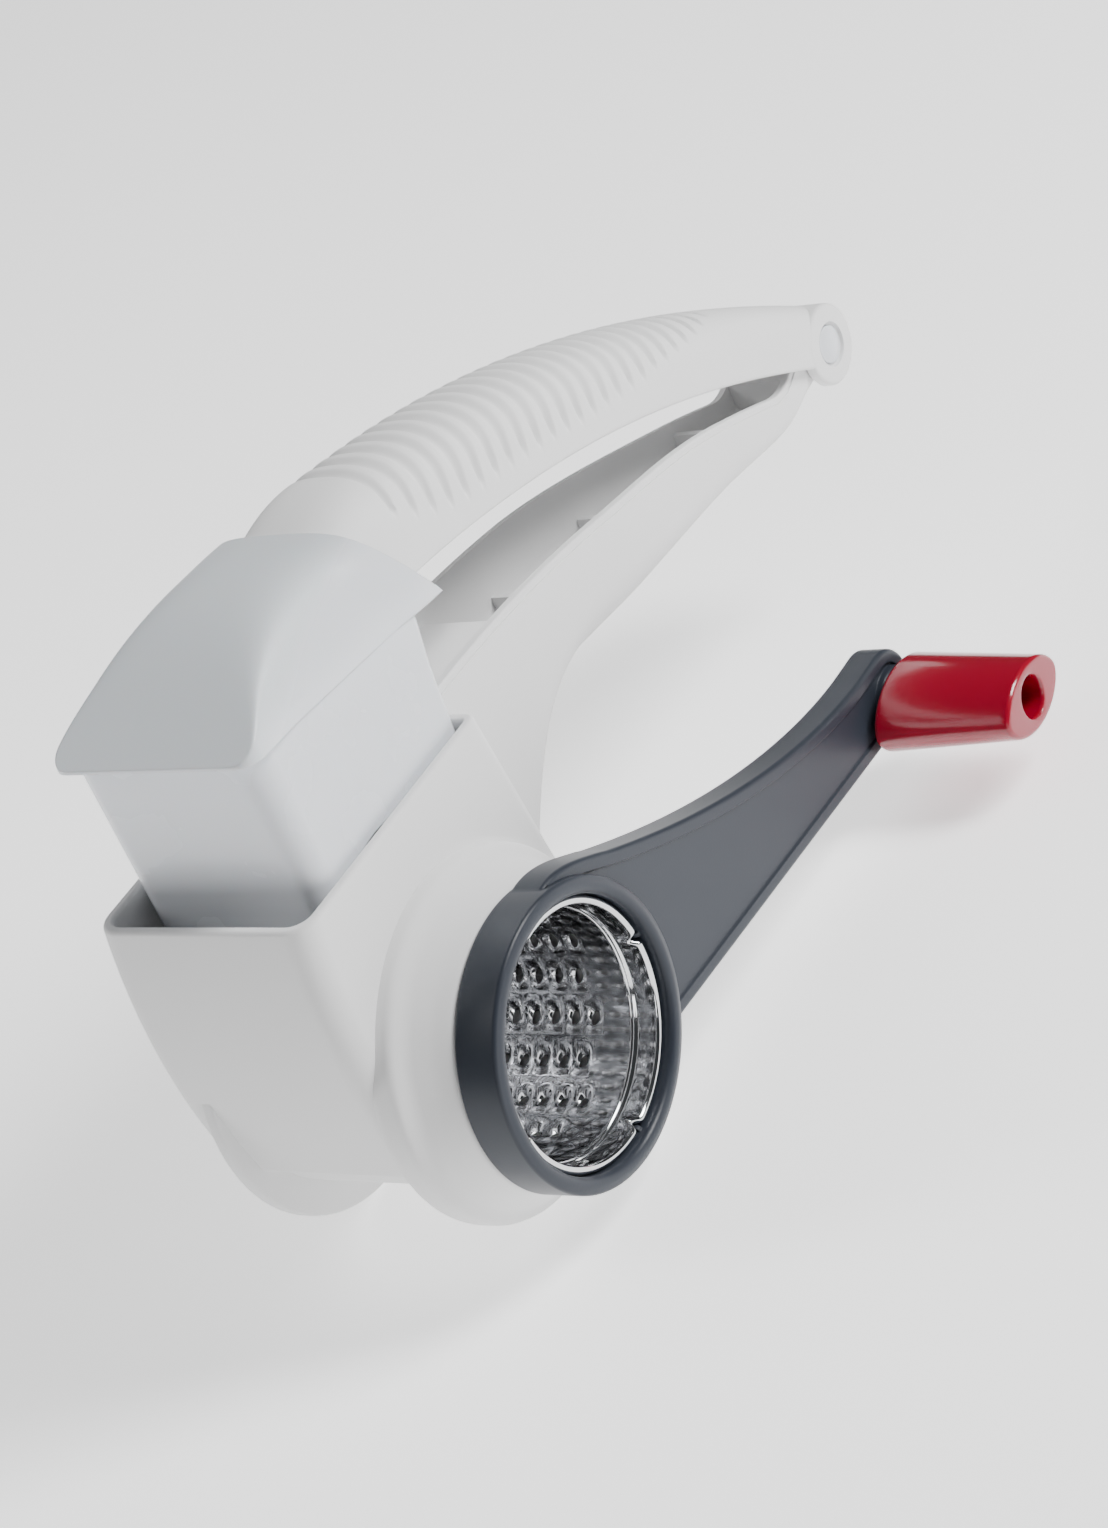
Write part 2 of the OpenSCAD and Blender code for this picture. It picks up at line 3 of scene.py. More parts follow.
import bpy
import numpy as np
from mathutils import Matrix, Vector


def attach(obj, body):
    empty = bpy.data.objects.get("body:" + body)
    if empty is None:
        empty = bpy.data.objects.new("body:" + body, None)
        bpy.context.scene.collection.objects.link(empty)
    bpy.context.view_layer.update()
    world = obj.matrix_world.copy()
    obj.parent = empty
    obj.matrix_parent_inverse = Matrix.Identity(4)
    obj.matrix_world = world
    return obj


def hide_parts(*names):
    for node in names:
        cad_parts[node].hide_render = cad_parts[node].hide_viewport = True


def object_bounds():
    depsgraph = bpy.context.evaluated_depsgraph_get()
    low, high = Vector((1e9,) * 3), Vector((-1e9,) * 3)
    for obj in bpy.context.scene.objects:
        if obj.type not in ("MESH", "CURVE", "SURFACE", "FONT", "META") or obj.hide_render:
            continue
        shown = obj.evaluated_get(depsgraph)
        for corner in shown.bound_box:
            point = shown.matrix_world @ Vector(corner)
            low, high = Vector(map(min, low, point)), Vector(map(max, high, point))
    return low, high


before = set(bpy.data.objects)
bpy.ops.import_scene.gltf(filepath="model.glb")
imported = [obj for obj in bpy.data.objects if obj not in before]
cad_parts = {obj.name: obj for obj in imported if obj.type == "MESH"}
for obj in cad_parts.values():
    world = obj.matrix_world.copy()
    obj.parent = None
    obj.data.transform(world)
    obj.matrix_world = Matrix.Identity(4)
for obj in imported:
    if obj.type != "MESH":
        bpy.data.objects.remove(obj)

cad_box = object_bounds()

# ---- hopper housing ---------------------------------------------------------------------------
# White ABS moulding: an open hopper with a bulging front wall over a round trough, two lobes
# beside the trough and, on the crank's side, a shoulder that narrows to the crank's ring.
# Everything else is fixed to it. Sizes are in millimetres until a mesh is made.

MM = 0.001
HOPPER_W = 44.6
MID_X = HOPPER_W / 2
RIM_Z, LIP_Z = 43.8, -8.4
WALL = 1.9
LOBE_R = 31.5
LOBE_X = HOPPER_W + 3.2
DRUM_R = 21.3
TROUGH_R = DRUM_R + 2.1
SIDE_PLATE = (6.1, 8.3)
BUSH_X, BUSH_R = 2.6, 4.5
RING_X0, RING_X1, RING_R = 56.1, 64.6, 26.0
COLLAR_BORE, COLLAR_R, SNAP_R = 23.2, 24.5, 24.95
COLLAR_END = 60.1


def box_rings(a0, a1, b0, b1, low_r, high_r, steps=10):
    """Rounded rectangles in (a, b), one per entry of the arrays: each corner is a quarter circle
    about its own centre, of radius high_r at the two corners at b1 and low_r at those at b0."""
    a0, a1, b0, b1, low_r, high_r = (np.asarray(v, float).reshape(-1, 1) for v in
                                     np.broadcast_arrays(a0, a1, b0, b1, low_r, high_r))
    quarter = np.linspace(0, np.pi / 2, steps + 1)
    turn = np.concatenate([quarter + k * np.pi / 2 for k in range(4)])
    corner = np.repeat(np.arange(4), steps + 1)
    radius = np.where(corner < 2, high_r, low_r)
    a = np.where(np.isin(corner, (0, 3)), a1 - radius, a0 + radius) + radius * np.cos(turn)
    b = np.where(corner < 2, b1 - radius, b0 + radius) + radius * np.sin(turn)
    return a, b


def skin(name, x, y, z, loop=False):
    """Closed mesh through rings: row i of the arrays is ring i. Each ring is joined to the next by
    quads. The first and last rings are closed by flat faces, or with loop joined to each other."""
    points = np.stack(np.broadcast_arrays(x, y, z), -1) * MM
    count, size = points.shape[:2]
    i, j = np.meshgrid(np.arange(count if loop else count - 1), np.arange(size), indexing="ij")
    below, above, along = i * size, (i + 1) % count * size, (j + 1) % size
    quads = np.stack([below + j, below + along, above + along, above + j], -1).reshape(-1, 4)
    flat = points.reshape(-1, 3)
    corners = flat[quads]
    volume = sum(np.einsum("ij,ij->", corners[:, 0], np.cross(corners[:, k], corners[:, k + 1]))
                 for k in (1, 2))
    faces = quads.tolist()
    if not loop:
        faces += [list(range(size))[::-1], list(range((count - 1) * size, count * size))]
        for ring, sign in ((points[0], -1), (points[-1], 1)):
            volume += sign * np.cross(ring, np.roll(ring, -1, 0)).sum(0) @ ring.mean(0)
    mesh = bpy.data.meshes.new(name)
    mesh.from_pydata(flat.tolist(), [], faces)
    if volume < 0:
        mesh.flip_normals()
    piece = bpy.data.objects.new(name, mesh)
    bpy.context.scene.collection.objects.link(piece)
    return piece


def turned(name, profile, centre=(0.0, 0.0), steps=144, loop=False):
    """Profile of (x, radius) revolved about a line along X through centre (y, z)."""
    profile = np.asarray(profile, float)
    turn = np.linspace(0, 2 * np.pi, steps, endpoint=False)
    x, radius = profile[:, :1], profile[:, 1:]
    return skin(name, x + 0 * turn, centre[0] + radius * np.cos(turn),
                centre[1] + radius * np.sin(turn), loop)


def eased(points, radius, closed=False, steps=5):
    """Polyline with every corner replaced by a short parabola that starts radius before it."""
    points = np.asarray(points, float)
    before, after = np.roll(points, 1, 0) - points, np.roll(points, -1, 0) - points
    reach = [np.minimum(radius, np.linalg.norm(v, axis=1) * 0.48)[:, None]
             / np.maximum(np.linalg.norm(v, axis=1), 1e-9)[:, None] for v in (before, after)]
    start, end = points + before * reach[0], points + after * reach[1]
    t = np.linspace(0, 1, steps)[None, :, None]
    curve = (1 - t) ** 2 * start[:, None] + 2 * t * (1 - t) * points[:, None] + t ** 2 * end[:, None]
    if closed:
        return curve.reshape(-1, 2)
    return np.concatenate([points[:1], curve[1:-1].reshape(-1, 2), points[-1:]])


def combine(piece, tool, operation):
    """Replaces the piece's mesh by its union with, or difference from, the tool, which goes."""
    step = piece.modifiers.new("combine", "BOOLEAN")
    step.operation, step.solver, step.object = operation, "MANIFOLD", tool
    graph = bpy.context.evaluated_depsgraph_get()
    mesh = bpy.data.meshes.new_from_object(piece.evaluated_get(graph))
    piece.modifiers.clear()
    piece.data = mesh
    bpy.data.objects.remove(tool)
    return piece


def smooth(piece, angle=32):
    """Smooth shading up to that angle, with normals weighted by face area so flats stay flat."""
    piece.data.shade_smooth()
    piece.data.set_sharp_from_angle(angle=math.radians(angle))
    weigh = piece.modifiers.new("weigh", "WEIGHTED_NORMAL")
    weigh.keep_sharp = True
    return piece


class Wire:
    """One output in a shader tree. Arithmetic on wires and numbers adds Math nodes."""

    def __init__(self, tree, out=None):
        self.tree, self.out = tree, out

    def make(self, kind, settings=(), sockets=(), out=0):
        """Adds a node: its settings are set first, then its sockets get values or wires."""
        node = self.tree.nodes.new(kind)
        for key, value in dict(settings).items():
            setattr(node, key, value)
        for key, value in dict(sockets).items():
            if isinstance(value, Wire):
                self.tree.links.new(value.out, node.inputs[key])
            else:
                node.inputs[key].default_value = value
        return Wire(self.tree, node.outputs[out] if node.outputs else None)

    def maths(self, operation, *values):
        return self.make("ShaderNodeMath", {"operation": operation}, dict(enumerate(values)))

    def __add__(self, other):
        return self.maths("ADD", self, other)

    def __radd__(self, other):
        return self.maths("ADD", other, self)

    def __sub__(self, other):
        return self.maths("SUBTRACT", self, other)

    def __rsub__(self, other):
        return self.maths("SUBTRACT", other, self)

    def __mul__(self, other):
        return self.maths("MULTIPLY", self, other)

    def __rmul__(self, other):
        return self.maths("MULTIPLY", other, self)


def new_tree(name):
    """An empty material and a wire that can start nodes in it."""
    material = bpy.data.materials.new(name)
    material.use_nodes = True
    material.node_tree.nodes.clear()
    return material, Wire(material.node_tree)


def finish_tree(tree, shader):
    """Wires the shader to the material's output."""
    tree.make("ShaderNodeOutputMaterial", {}, {"Surface": shader})


def moulding(name, colour, roughness, coat, dapple, grain, soft=0.0, shine=0.5):
    """Moulded plastic: slow patches of gloss from the mould's polish, a faint tint drift, and a
    fine grain in the bump. dapple is how far the roughness wanders, grain the bump's height."""
    material, tree = new_tree(name)
    place = tree.make("ShaderNodeTexCoord", out="Object")
    patches = tree.make("ShaderNodeTexNoise", {}, {"Vector": place, "Scale": 46.0, "Detail": 3.0}, "Fac")
    fine = tree.make("ShaderNodeTexNoise", {}, {"Vector": place, "Scale": 2600.0, "Detail": 2.0}, "Fac")
    tint = tree.make("ShaderNodeMix", {"data_type": "RGBA"}, {
        0: patches, 6: (*colour, 1), 7: (*[c * 0.96 for c in colour], 1)}, 2)
    edge = tree.make("ShaderNodeBevel", {"samples": 4}, {"Radius": 0.00035})
    bump = tree.make("ShaderNodeBump", {}, {
        "Height": fine, "Distance": 0.00002, "Strength": grain, "Normal": edge})
    shader = tree.make("ShaderNodeBsdfPrincipled", {}, {
        "Base Color": tint, "Roughness": patches * dapple + (roughness - dapple / 2),
        "Coat Weight": coat, "Coat Roughness": 0.08, "Specular IOR Level": shine, "Normal": bump,
        "Subsurface Weight": soft, "Subsurface Scale": 0.002})
    finish_tree(tree, shader)
    return material


def front_y(z):
    """Front wall: a straight line from lip to rim plus a parabola that bulges between them."""
    t = (z - LIP_Z) / (RIM_Z - LIP_Z)
    return -(26.7 + 0.9 * t + 3.3 * (1 - (2 * t - 1) ** 2))


def back_y(z):
    """Back wall: leans out downwards to just above the axis, and in again to the lobes."""
    return np.where(z > 4, 29.6 + 3.9 * (RIM_Z - z) / (RIM_Z - 4), 33.5 - 0.25 * (4 - z))


def hopper_skin(name, z, inset, front_r=5.0, back_r=2.6):
    """Rounded rectangles stacked up z, between the two walls, each drawn in by inset."""
    x, y = box_rings(inset, HOPPER_W - inset, front_y(z) + inset, back_y(z) - inset,
                     np.maximum(front_r - inset, 0.4), np.maximum(back_r - inset, 0.4))
    return skin(name, x, y, z[:, None])


def edge_levels(z0, z1, radius, count):
    """Heights from z0 to z1 with a quarter circle at both ends, and the inset at each height."""
    quarter = np.linspace(0, np.pi / 2, 7)
    z = np.concatenate([z0 + radius * (1 - np.cos(quarter)),
                        np.linspace(z0 + radius, z1 - radius, count)[1:-1],
                        z1 - radius * (1 - np.sin(quarter))])
    inset = np.concatenate([radius * (1 - np.sin(quarter)), np.zeros(count - 2),
                            radius * (1 - np.cos(quarter))])
    return z, inset


white_plastic = moulding("white_plastic", (0.72, 0.745, 0.785), 0.27, 0.35, 0.06, 0.25, 0.06)

rim_r = 0.7
z, inset = edge_levels(LIP_Z, RIM_Z, rim_r, 46)
housing = hopper_skin("hopper_body", z, inset)
side_lobe = eased([(SIDE_PLATE[0], 0.5), (SIDE_PLATE[0], LOBE_R), (SIDE_PLATE[1], LOBE_R),
                   (SIDE_PLATE[1], 0.5)], 0.6)
combine(housing, turned("side_lobe", side_lobe), "UNION")
trough = [(SIDE_PLATE[0] + 1, TROUGH_R + WALL), (HOPPER_W, TROUGH_R + WALL)]
combine(housing, turned("trough", trough), "UNION")
shoulder = eased([(HOPPER_W - 3, 0.5), (HOPPER_W - 3, LOBE_R - 1), (HOPPER_W - 1.5, LOBE_R),
                  (LOBE_X - 0.6, LOBE_R), (LOBE_X + 1.2, LOBE_R - 2.4), (LOBE_X + 5, RING_R + 0.9),
                  (RING_X0 - 0.2, RING_R - 0.3), (RING_X0 - 0.2, 0.5)], 1.1)
combine(housing, turned("shoulder", shoulder), "UNION")
inner_z = np.concatenate([np.linspace(LIP_Z + WALL, RIM_Z - rim_r, 40),
                          RIM_Z - rim_r * (1 - np.sin(np.linspace(0.2, np.pi / 2, 6))), [RIM_Z + 1.5]])
flare = np.where(inner_z > RIM_Z - rim_r, 1, 0) * rim_r * (
    1 - np.sqrt(np.clip(1 - np.clip((inner_z - RIM_Z + rim_r) / rim_r, 0, 1) ** 2, 0, 1)))
hollow = hopper_skin("hollow", inner_z, WALL - flare)
combine(hollow, turned("bearing_boss", [(-1, DRUM_R + 0.7), (SIDE_PLATE[1], DRUM_R + 0.7)]), "DIFFERENCE")
combine(housing, hollow, "DIFFERENCE")
bore = [(SIDE_PLATE[1], TROUGH_R), (HOPPER_W + 0.5, TROUGH_R), (HOPPER_W + 0.6, TROUGH_R + 0.01),
        (RING_X0 + 1, TROUGH_R + 0.01)]
combine(housing, turned("bore", bore), "DIFFERENCE")
combine(housing, turned("bush_seat", [(BUSH_X, BUSH_R), (SIDE_PLATE[1] + 1, BUSH_R)]), "DIFFERENCE")
# Collar: a short tube with a low bead round it that the crank's ring snaps over
collar = eased([(RING_X0 - 1.5, COLLAR_BORE + 0.2), (RING_X0 - 1.5, COLLAR_R),
                (COLLAR_END - 2.2, COLLAR_R), (COLLAR_END - 1.8, SNAP_R),
                (COLLAR_END - 1.2, SNAP_R), (COLLAR_END - 0.8, COLLAR_R),
                (COLLAR_END, COLLAR_R - 0.1), (COLLAR_END, COLLAR_BORE + 0.2)], 0.15, closed=True)
combine(housing, turned("collar", collar, loop=True), "UNION")
smooth(housing)
housing.data.materials.append(white_plastic)
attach(housing, "root")
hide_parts("hopper_housing")

# ---- lower handle -----------------------------------------------------------------------------
# White ABS trough, open above, that grows out of the hopper's back wall and ends at the hinge.
# It is ribbed across inside, has a shelf next to the hopper, and a thin raised line at its rim.

PIVOT_Y, PIVOT_Z = 175.7, 22.1
HANDLE_Y0 = 29.1
HANDLE_END_R, HANDLE_END_HW = 5.7, 7.95
GRIP_Z, GRIP_Y, GRIP_END = 45.3, 38.0, 169.0
GRIP_DROP = 27.5
RIB_YS, RIB_T, RIB_H = (80, 108.5, 140.5), 1.5, 10
SHELF_END, SHELF_Z0, SHELF_Z1 = 61.4, 38.2, 40.1
HANDLE_HOLE_R = 3.6


def ease(t):
    """Smooth step: three t squared less two t cubed, held at its ends."""
    t = np.clip(t, 0, 1)
    return t * t * (3 - 2 * t)


def blend(a, b, t):
    """Straight mix from a at t = 0 to b at t = 1, held beyond them."""
    return a + (b - a) * np.clip(t, 0, 1)


def meet(y):
    """Line between lever and handle: level at the hopper, then a parabola down to the hinge."""
    return GRIP_Z - GRIP_DROP * (np.maximum(y - GRIP_Y, 0) / (GRIP_END - GRIP_Y)) ** 2


def under(y):
    """Underside: a straight fall towards the hinge, and a parabola down to the hopper's back."""
    out = blend(22.9 - 0.106 * (y - 75), PIVOT_Z - HANDLE_END_R, ease((y - PIVOT_Y + 26) / 24))
    return np.where(y > 75, out, np.maximum(3, 22.9 - 0.018 * (75 - y) ** 2))


def handle_half(y):
    """Half width: 12 mm at the hopper, eased down to the hinge's half width."""
    return blend(12.0, HANDLE_END_HW, ease((y - 90) / (PIVOT_Y - 128)))


def handle_top(y):
    """Rim: the line between the handles, eased over the last 14 mm to the round end."""
    return blend(meet(y), PIVOT_Z + HANDLE_END_R * 0.7, ease((y - GRIP_END + 14) / 14))


def handle_skin(name, y, inset, low, high, top_r):
    """Rounded rectangles along y, with round lower corners: inset narrows them, and low and high
    move their bottom and top."""
    half, z0, z1 = handle_half(y) - inset, under(y) + low, handle_top(y) + high
    belly_r = np.minimum(half * 0.7, (handle_top(y) - z0) * 0.42)
    x, z = box_rings(MID_X - half, MID_X + half, z0, z1, belly_r, top_r, 12)
    return skin(name, x, y[:, None], z)


y = np.linspace(HANDLE_Y0, PIVOT_Y - 4, 150)
handle = handle_skin("handle_trough", y, 0, 0, -1.3, 0.05)
combine(handle, handle_skin("rim_line", y, 0.3, 1, 0, 0.45), "UNION")
inside = handle_skin("inside", y[:-6], WALL, WALL, 6, 0.3)
for rib_y in RIB_YS:
    rib = np.array([rib_y, rib_y + RIB_T])
    x, z = box_rings(MID_X - 20, MID_X + 20, under(rib) - 5, under(rib) + RIB_H, 0.3, 0.3, 3)
    combine(inside, skin("rib", x, rib[:, None], z), "DIFFERENCE")
shelf_y = np.array([HANDLE_Y0 - 5, SHELF_END])
x, z = box_rings(MID_X - 20, MID_X + 20, SHELF_Z0, SHELF_Z1, 0.3 + 0 * shelf_y, 0.3, 3)
combine(inside, skin("shelf", x, shelf_y[:, None], z), "DIFFERENCE")
solid_end = np.array([PIVOT_Y - 14, PIVOT_Y + 10])
x, z = box_rings(MID_X - 20, MID_X + 20, -10 + 0 * solid_end, 60, 0.3, 0.3, 3)
combine(inside, skin("solid_end", x, solid_end[:, None], z), "DIFFERENCE")
combine(handle, inside, "DIFFERENCE")
knuckle = eased([(MID_X - HANDLE_END_HW, 0.5), (MID_X - HANDLE_END_HW, HANDLE_END_R),
                 (MID_X + HANDLE_END_HW, HANDLE_END_R), (MID_X + HANDLE_END_HW, 0.5)], 0.5)
combine(handle, turned("knuckle", knuckle, (PIVOT_Y, PIVOT_Z), 64), "UNION")
z, inset = edge_levels(LIP_Z, RIM_Z, 0.1, 46)
combine(handle, hopper_skin("hopper_cut", z, inset), "DIFFERENCE")
pin_hole = [(MID_X - 20, HANDLE_HOLE_R), (MID_X + 20, HANDLE_HOLE_R)]
combine(handle, turned("pin_hole", pin_hole, (PIVOT_Y, PIVOT_Z), 64), "DIFFERENCE")
smooth(handle)
handle.data.materials.append(white_plastic)
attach(handle, "root")
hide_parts("lower_handle")

# ---- pivot pin and drum bush ------------------------------------------------------------------
# The pin is pushed through lever and handle; its domed head shows in a countersink, and a cap
# closes its other end. The bush is a dark ring in the bearing boss. They keep their CAD shape.

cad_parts["pivot_pin"].data.materials[0] = white_plastic
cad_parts["pin_cap"].data.materials[0] = white_plastic
slate_plastic = moulding("slate_plastic", (0.026, 0.031, 0.042), 0.36, 0.0, 0.08, 0.5, shine=0.32)
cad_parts["drum_bush"].data.materials[0] = slate_plastic

# ---- lever ------------------------------------------------------------------------------------
# White ABS channel, open below, arched above. Rounded grooves run over its grip and end on the
# sides; towards the hinge its top flattens, and its end is a round eye for the pin.

REST_OPEN = math.radians(6.6)
GRIP_GAP = 2.4
CROWN_Z, CROWN_Y = 67.2, 30.0
LEVER_END_R, LEVER_END_HW = 7.9, 10.2
LEVER_Y0, LEVER_Y1 = 6.0, PIVOT_Y + 3.4
ROOM_R, ROOM_UP, ROOM_BACK = 6.0, 6.0, 2.5
PIN_WAY_R, HEAD_SINK_R = 3.65, 4.2


def opened(y, z):
    """Turns points drawn for the shut lever about the pin to where the lever stands at rest."""
    dy, dz = y - PIVOT_Y, z - PIVOT_Z
    c, s = math.cos(REST_OPEN), math.sin(REST_OPEN)
    return PIVOT_Y + dy * c + dz * s, PIVOT_Z - dy * s + dz * c


def lever_half(y):
    """Half width: 11.8 mm at the hood, eased down to the eye's half width."""
    return blend(11.8, LEVER_END_HW, ease((y - 60) / (PIVOT_Y - 75))) - 0.05


def lever_floor(y):
    """Lower edge: a set gap above the handle's rim, and level at the eye."""
    return np.maximum(meet(y) + GRIP_GAP, PIVOT_Z - LEVER_END_R * 0.8)


def crown(y):
    """Top line: a parabola down to the eye behind the crown, and a gentler one in front."""
    behind = np.maximum(y - CROWN_Y, 0) / (PIVOT_Y - CROWN_Y)
    fall = (CROWN_Z - PIVOT_Z - LEVER_END_R - 0.9) * behind ** 2
    return CROWN_Z - fall - 0.0165 * np.maximum(36 - y, 0) ** 2


def groove_depth(y, height):
    """Grooves 4.8 mm apart, closing up towards the hinge: a raised cosine across each one, which
    narrows and fades out down the side. height runs from 0 at the lower edge to 1 at the crown."""
    first, pitch, tighter, count = 38.6, 4.8, 0.0155, 24
    along = (pitch - np.sqrt(np.maximum(pitch ** 2 - 4 * tighter * (y - first), 0.01))) / (2 * tighter)
    nearest = np.clip(np.round(along), 0, count)
    off = np.abs(along - nearest) * (pitch - 2 * tighter * nearest)
    end = (0.25 + 0.56 * (np.maximum(y - 88, 0) / 52) ** 2 + 0.35 * (np.maximum(60 - y, 0) / 23) ** 2)
    width = 0.8 + 1.1 * ease((height - end) / 0.5)
    fade = ease((height - end + 0.03) / 0.13)
    return 1.15 * fade * (0.5 + 0.5 * np.cos(np.pi * np.minimum(off / width, 1)))


def lever_skin(name, y, inset, drop, grooved=False):
    """Section at y: upright sides, a superellipse arch above, and small roundings below. The
    arch gets squarer near the hinge. Grooves push points towards the section's middle."""
    y = y[:, None]
    half, z0, z1 = lever_half(y) - inset, lever_floor(y) - drop, crown(y) - inset
    spring = z0 + drop + (z1 - z0 - drop) * 0.4
    power = blend(0.72 + 0.08 * ease((y - 25) / 25), 0.62, ease((y - 138) / 20))
    t = np.linspace(0, np.pi, 73)
    c, s = np.cos(t), np.sin(t)
    arch_x, arch_z = half * np.sign(c) * np.abs(c) ** power, spring + (z1 - spring) * np.abs(s) ** power
    toe = 0.7
    turn = np.linspace(-np.pi / 2, 0, 6)
    toe_x, toe_z = half - toe + toe * np.cos(turn), z0 + toe + toe * np.sin(turn)
    up = np.linspace(0, 1, 9)[1:-1]
    side_x, side_z = half + 0 * up, z0 + toe + (spring - z0 - toe) * up
    x = np.concatenate([toe_x, side_x, arch_x, -side_x[:, ::-1], -toe_x[:, ::-1]], 1)
    z = np.concatenate([toe_z, side_z, arch_z, side_z[:, ::-1], toe_z[:, ::-1]], 1)
    if grooved:
        depth = groove_depth(y, (z - z0) / (z1 - z0))
        dx, dz = -x, np.minimum(spring - z, 0)
        size = np.maximum(np.hypot(dx / half, dz / (z1 - spring)), 1e-6)
        x, z = x + depth * dx / half / size, z + depth * dz / (z1 - spring) / size
    ring_y, ring_z = opened(y + 0 * x, z)
    return skin(name, MID_X + x, ring_y, ring_z)


# Rings stand close together where the grooves are
ys = np.concatenate([np.linspace(LEVER_Y0, 36, 30), np.linspace(36, 146, 420)[1:],
                     np.linspace(146, LEVER_Y1, 40)[1:]])
lever = lever_skin("lever_channel", ys, 0, 0, grooved=True)
cheeks = eased([(MID_X - LEVER_END_HW, 0.5), (MID_X - LEVER_END_HW, LEVER_END_R),
                (MID_X + LEVER_END_HW, LEVER_END_R), (MID_X + LEVER_END_HW, 0.5)], 1.0, steps=7)
combine(lever, turned("cheeks", cheeks, (PIVOT_Y, PIVOT_Z), 96), "UNION")
combine(lever, lever_skin("channel", np.linspace(LEVER_Y0 + WALL, PIVOT_Y - 11, 60), WALL, 9), "DIFFERENCE")
# Room for the lower handle's end: a round hole on the pin's axis, open below and towards the grip
room_hw = LEVER_END_HW - WALL
room = [(MID_X - room_hw, ROOM_R), (MID_X + room_hw, ROOM_R)]
combine(lever, turned("room", room, (PIVOT_Y, PIVOT_Z), 64), "DIFFERENCE")
outline = np.array([(PIVOT_Y - 12, PIVOT_Z - 20), (PIVOT_Y - 12, PIVOT_Z + ROOM_UP),
                    (PIVOT_Y, PIVOT_Z + ROOM_UP), (PIVOT_Y, PIVOT_Z - ROOM_BACK),
                    (PIVOT_Y + 16, PIVOT_Z - ROOM_BACK), (PIVOT_Y + 16, PIVOT_Z - 20)])
room_y, room_z = opened(outline[:, 0], outline[:, 1])
combine(lever, skin("room_below", np.array([[MID_X - room_hw + 0.01], [MID_X + room_hw - 0.01]]),
                    room_y[None], room_z[None]), "DIFFERENCE")
pin_way = [(MID_X - 10.3, HEAD_SINK_R + 0.15), (MID_X - 9.5, HEAD_SINK_R), (MID_X - 9.3, PIN_WAY_R),
           (MID_X + 9.3, PIN_WAY_R), (MID_X + 9.5, HEAD_SINK_R), (MID_X + 10.3, HEAD_SINK_R + 0.15)]
combine(lever, turned("pin_way", pin_way, (PIVOT_Y, PIVOT_Z), 64), "DIFFERENCE")
smooth(lever, 40)
lever.data.materials.append(white_plastic)
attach(lever, "lever")
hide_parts("lever")

# ---- press: hood and pusher -------------------------------------------------------------------
# One pearl-white moulding under the lever's front: a domed hood, satin above and glossy on its
# sides, and below it the hollow pusher whose bottom is curved round the drum.

PUSHER_HW = 19.5
HOOD_FRONT, HOOD_BACK, HOOD_BACK_TOP = -24.9, 32.0, 20.0
HOOD_EDGE_Z, HOOD_ARCH, HOOD_CREST, HOOD_NOSE = 47.5, 20.24, 17.4, 47.7
HOOD_HW, HOOD_WAIST, HOOD_LIP, HOOD_CORNER, CORNER_LEN = 21.1, 0.8, 0.6, 4.0, 4.0
PRESS_R = DRUM_R + 1.3


def hood_height(u, s):
    """Dome over its edge: the smooth smaller of a squarish arch across and a parabola that rises
    from the front edge, joined by a sixth-power norm so that the hips stay soft."""
    across = HOOD_ARCH * np.clip(1 - np.abs(u) ** 2.79, 0, 1) ** 0.794 + 0.001
    rise = HOOD_CREST * (1 - (1 - np.minimum(s / HOOD_NOSE, 1)) ** 2) + 0.001
    return (across ** -6.0 + rise ** -6.0) ** (-1 / 6)


def hood_skin(name, inset, z_low, overrun=0.0):
    """Rings from the front edge to the leaning back arch, each closed below at z_low. The front
    corners are quarter ellipses in plan, and the sides draw in a little between the two ends."""
    t = np.linspace(0, 1, 110)[:, None] ** 1.5
    u = np.sin(np.linspace(np.pi / 2, -np.pi / 2, 121))[None]
    s = t * (HOOD_BACK - HOOD_FRONT)
    h = HOOD_LIP + hood_height(u, s) - inset
    waist = HOOD_WAIST * (ease((s - 4) / 12) - ease((s - 42) / 12))
    to_side = 1 - np.minimum(s / CORNER_LEN, 1)
    corner = HOOD_CORNER * (1 - np.sqrt(np.clip(1 - to_side ** 2, 0, 1)))
    half = HOOD_HW - waist - inset - corner
    y0 = HOOD_FRONT + inset
    back = blend(HOOD_BACK, HOOD_BACK_TOP, np.maximum(h, 0) / HOOD_ARCH) + overrun
    foot = back[:, :1] * 0 + HOOD_BACK + overrun
    x = np.concatenate([MID_X + half * u, MID_X - half, MID_X + half], 1)
    y = y0 + (np.concatenate([back, foot, foot], 1) - y0) * t
    z = np.concatenate([HOOD_EDGE_Z + h, z_low + 0 * s, z_low + 0 * s], 1)
    y, z = opened(y, z)
    return skin(name, x, y, z)


def pusher_skin(name, inset, z0, z1):
    """Rounded block whose front leans back; behind its front corners its sides swell smoothly
    out to the hood over the last millimetres."""
    z = np.linspace(z0, z1, 60)
    x, y = box_rings(MID_X - PUSHER_HW + inset, MID_X + PUSHER_HW - inset,
                     5.0 * (RIM_Z - z) / RIM_Z - 22.1 + inset, 25.8 - inset + 0 * z,
                     5.0 - inset, 2.4 - inset)
    swell = 0.795 * ease((z[:, None] - 36) / 11.5) * ease((y + 20.5) / 9)
    x = MID_X + (x - MID_X) * (1 + swell / PUSHER_HW)
    y, z = opened(y, z[:, None] + 0 * y)
    return skin(name, x, y, z)


def drum_clearance(radius):
    """Cylinder about where the drum's axis lies when the press is shut."""
    centre = opened(np.array(0.0), np.array(0.0))
    return turned("drum_clearance", [(-5, radius), (HOPPER_W + 5, radius)], centre, 160)


